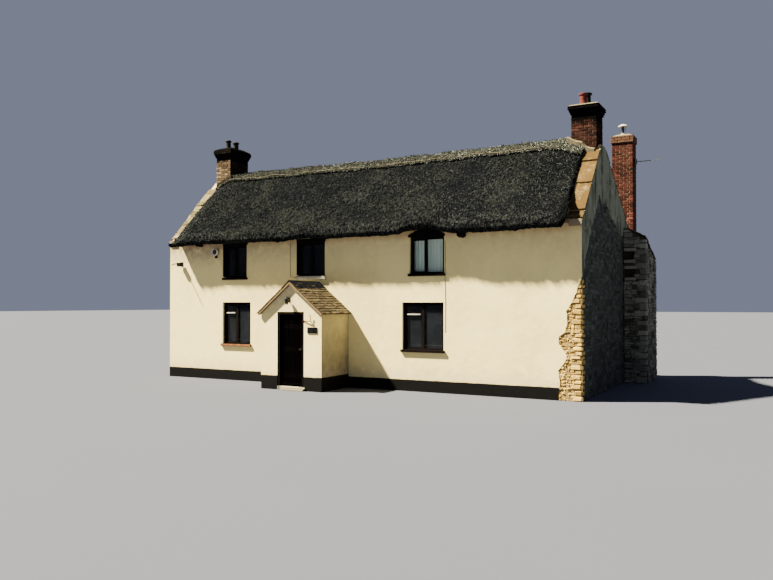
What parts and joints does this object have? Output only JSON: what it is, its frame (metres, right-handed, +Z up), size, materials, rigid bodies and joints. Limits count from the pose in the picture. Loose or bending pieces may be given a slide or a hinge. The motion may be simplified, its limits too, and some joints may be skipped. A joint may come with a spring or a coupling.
{
  "type": "thatched cottage",
  "caption": "Long two-storey cottage with rendered walls, a thatched roof between slated verges, brick chimneys at both gables and a gabled front porch with a hinged door.",
  "frame": {"origin": "at ground level, in the middle of the main range's plan", "axes": "+X along the front towards the right-hand gable, +Y into the house, +Z up"},
  "size_m": [13.8183, 8.4213, 7.913],
  "materials": {
    "render": "painted lime render, weathered",
    "rubble": "rough rubble stone",
    "brick": "sooty brick with mortar caps",
    "thatch": "weathered reed and straw",
    "ridge_straw": "newer straw ridge",
    "slate": "stone slates",
    "porch_slate": "stone slates in courses",
    "lead": "dull grey sheet",
    "dark_timber": "dark brown stain",
    "glass": "clear",
    "curtain": "plain woven",
    "flagstone": "worn",
    "boards": "waxed boards",
    "pots": "fired clay in a mortar bed",
    "iron": "black",
    "white_metal": "white",
    "aluminium": "dull"
  },
  "bodies": {
    "house": {"ground_floor": "flagstone", "first_floor": "boards", "front_wall_left": "render", "front_wall_right": "render", "front_wall_over_door": "render", "rear_wall": "render", "left_gable_wall": "render", "right_gable_wall": "render", "thatch_front": "thatch", "thatch_rear": "thatch", "thatch_ridge": "ridge_straw", "left_front_verge_slates": "slate", "left_rear_verge_slates": "slate", "right_front_verge_slates": "slate", "right_rear_verge_slates": "slate", "right_chimney_stack": "brick", "right_chimney_pots": "pots", "left_chimney_stack": "brick", "left_chimney_pots": "pots", "rear_chimney_stack": "brick", "rear_chimney_pots": "pots", "stone_breast": "rubble", "breast_slates": "slate", "porch_left_wall": "render", "porch_right_wall": "render", "porch_gable_head": "render", "porch_floor": "flagstone", "porch_roof_left": "porch_slate", "porch_roof_right": "porch_slate", "porch_ridge_lead": "lead", "door_frame": "dark_timber", "porch_lamp": "iron", "wall_arm_light": "iron", "flood_lamp": "white_metal", "tv_aerial": "aluminium", "upper_right_curtain": "curtain", "upper_left_window_frame": "dark_timber", "upper_left_window_glass": "glass", "upper_middle_window_frame": "dark_timber", "upper_middle_window_glass": "glass", "upper_right_window_frame": "dark_timber", "upper_right_window_glass": "glass", "lower_left_window_frame": "dark_timber", "lower_left_window_glass": "glass", "lower_right_window_frame": "dark_timber", "lower_right_window_glass": "glass", "rear_upper_window_frame": "dark_timber", "rear_upper_window_glass": "glass", "rear_lower_window_frame": "dark_timber", "rear_lower_window_glass": "glass"},
    "door": {"front_door": "dark_timber"}
  },
  "joints": [
    {"name": "front_door_hinge", "type": "hinge", "parent": "house", "child": "door", "pos_m": [-1.235, -4.055, 0.35], "axis": [0, 0, 1], "range_deg": [0, 95]}
  ]
}
